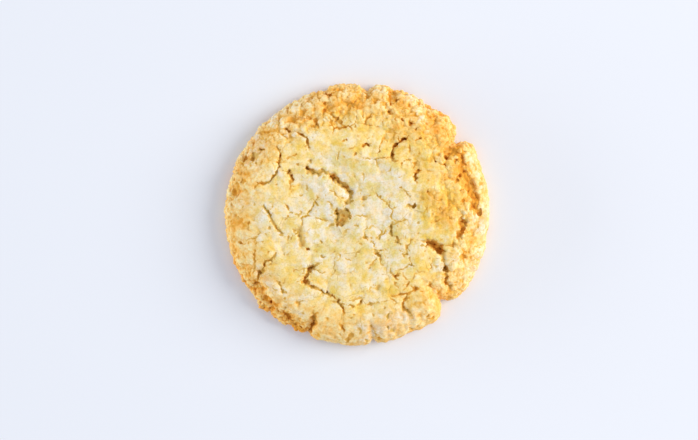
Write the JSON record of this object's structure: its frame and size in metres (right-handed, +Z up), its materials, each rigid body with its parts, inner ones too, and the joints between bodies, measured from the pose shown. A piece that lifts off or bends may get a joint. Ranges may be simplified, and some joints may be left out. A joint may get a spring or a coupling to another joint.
{
  "type": "sugar cookie",
  "caption": "Round baked cookie with a flat underside, a browned crumbly rim that rounds over, and a pale top cracked into plates.",
  "frame": {"origin": "on the table, under the middle of the cookie's bounding box", "axes": "+Z is up, out of the cracked top; +X is the side where the lip of the rim has broken away; +Y is across the top"},
  "size_m": [0.0808, 0.0802, 0.0111],
  "materials": {
    "baked_crust": "matte, crumbly baked dough, pale cream in the middle and golden brown at the rim"
  },
  "bodies": {
    "root": {"cookie": "baked_crust"}
  },
  "joints": []
}
